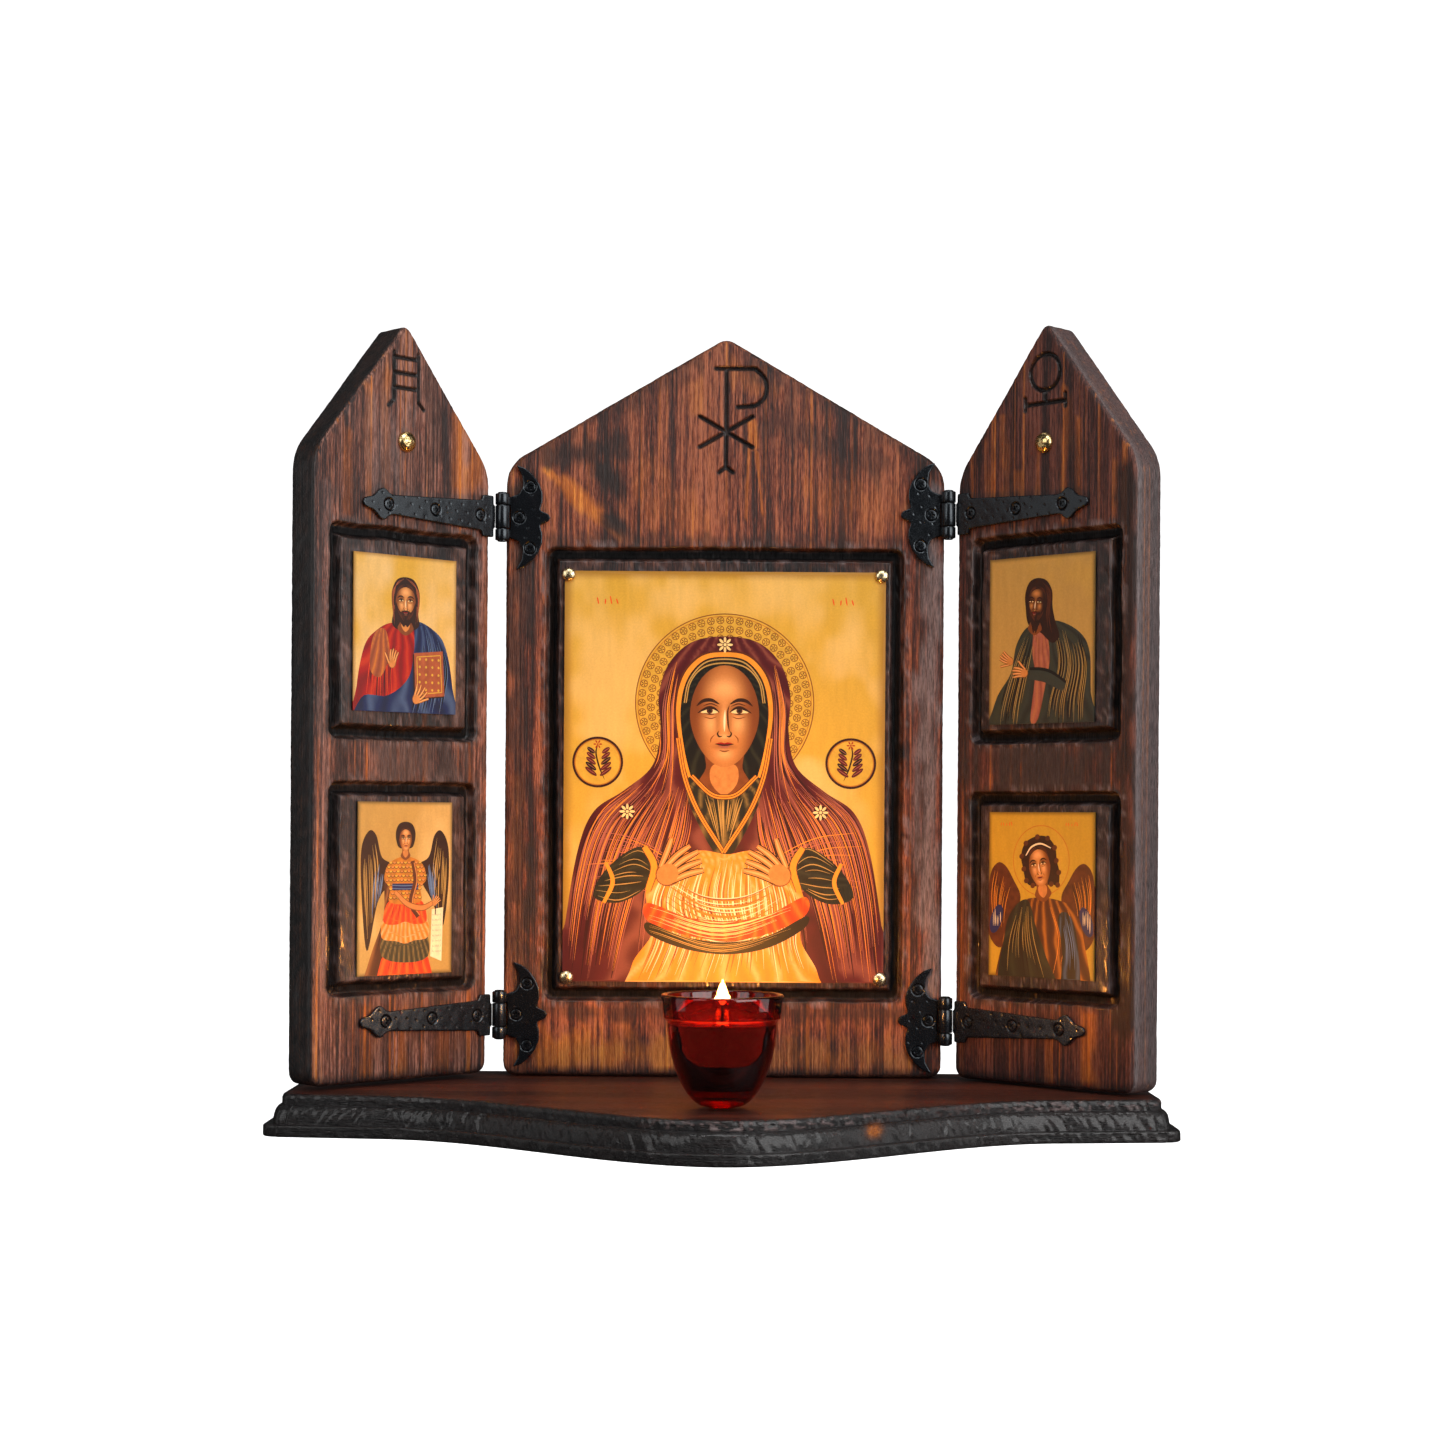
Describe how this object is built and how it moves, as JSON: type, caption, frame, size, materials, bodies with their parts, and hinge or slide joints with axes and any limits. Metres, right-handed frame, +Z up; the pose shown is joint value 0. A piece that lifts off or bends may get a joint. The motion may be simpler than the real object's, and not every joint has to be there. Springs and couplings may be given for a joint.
{
  "type": "triptych altarpiece",
  "caption": "Home-altar triptych: gabled dark pine centre board on a moulded shelf, pointed wings on black strap hinges, printed icon plates and a red votive glass.",
  "frame": {"origin": "middle of the shelf's outline, on its underside", "axes": "+X to the viewer's right along the shelf, +Y to the back, +Z up"},
  "size_m": [0.4864, 0.242, 0.4425],
  "materials": {
    "dark_wood": "stained and waxed",
    "icon_print": "printed, satin varnish",
    "black_iron": "satin black powder coat",
    "brass": "polished",
    "red_glass": "clear red",
    "wax": "soft wax",
    "wick": "charred cotton"
  },
  "bodies": {
    "centre": {"base_shelf": "dark_wood", "centre_board": "dark_wood", "centre_icon": "icon_print", "top_left_tack": "brass", "top_right_tack": "brass", "bottom_left_tack": "brass", "bottom_right_tack": "brass", "left_upper_crescent_leaf": "black_iron", "left_upper_hinge_pin": "black_iron", "left_upper_crescent_screw_1": "black_iron", "left_upper_crescent_screw_2": "black_iron", "left_upper_crescent_screw_3": "black_iron", "left_lower_crescent_leaf": "black_iron", "left_lower_hinge_pin": "black_iron", "left_lower_crescent_screw_1": "black_iron", "left_lower_crescent_screw_2": "black_iron", "left_lower_crescent_screw_3": "black_iron", "right_upper_crescent_leaf": "black_iron", "right_upper_hinge_pin": "black_iron", "right_upper_crescent_screw_1": "black_iron", "right_upper_crescent_screw_2": "black_iron", "right_upper_crescent_screw_3": "black_iron", "right_lower_crescent_leaf": "black_iron", "right_lower_hinge_pin": "black_iron", "right_lower_crescent_screw_1": "black_iron", "right_lower_crescent_screw_2": "black_iron", "right_lower_crescent_screw_3": "black_iron", "votive_glass": "red_glass", "votive_wax": "wax", "votive_wick": "wick"},
    "left_wing": {"left_wing_board": "dark_wood", "left_wing_nail": "brass", "left_upper_icon": "icon_print", "left_upper_strap_leaf": "black_iron", "left_upper_strap_screw_1": "black_iron", "left_upper_strap_screw_2": "black_iron", "left_upper_strap_screw_3": "black_iron", "left_lower_icon": "icon_print", "left_lower_strap_leaf": "black_iron", "left_lower_strap_screw_1": "black_iron", "left_lower_strap_screw_2": "black_iron", "left_lower_strap_screw_3": "black_iron"},
    "right_wing": {"right_wing_board": "dark_wood", "right_wing_nail": "brass", "right_upper_icon": "icon_print", "right_upper_strap_leaf": "black_iron", "right_upper_strap_screw_1": "black_iron", "right_upper_strap_screw_2": "black_iron", "right_upper_strap_screw_3": "black_iron", "right_lower_icon": "icon_print", "right_lower_strap_leaf": "black_iron", "right_lower_strap_screw_1": "black_iron", "right_lower_strap_screw_2": "black_iron", "right_lower_strap_screw_3": "black_iron"}
  },
  "joints": [
    {"name": "left_wing_hinge", "type": "hinge", "parent": "centre", "child": "left_wing", "pos_m": [-0.1267, 0.0872, 0.1988], "axis": [0, 0, 1], "range_deg": [-45, 135]},
    {"name": "right_wing_hinge", "type": "hinge", "parent": "centre", "child": "right_wing", "pos_m": [0.1267, 0.0872, 0.1988], "axis": [0, 0, -1], "range_deg": [-45, 135]}
  ]
}
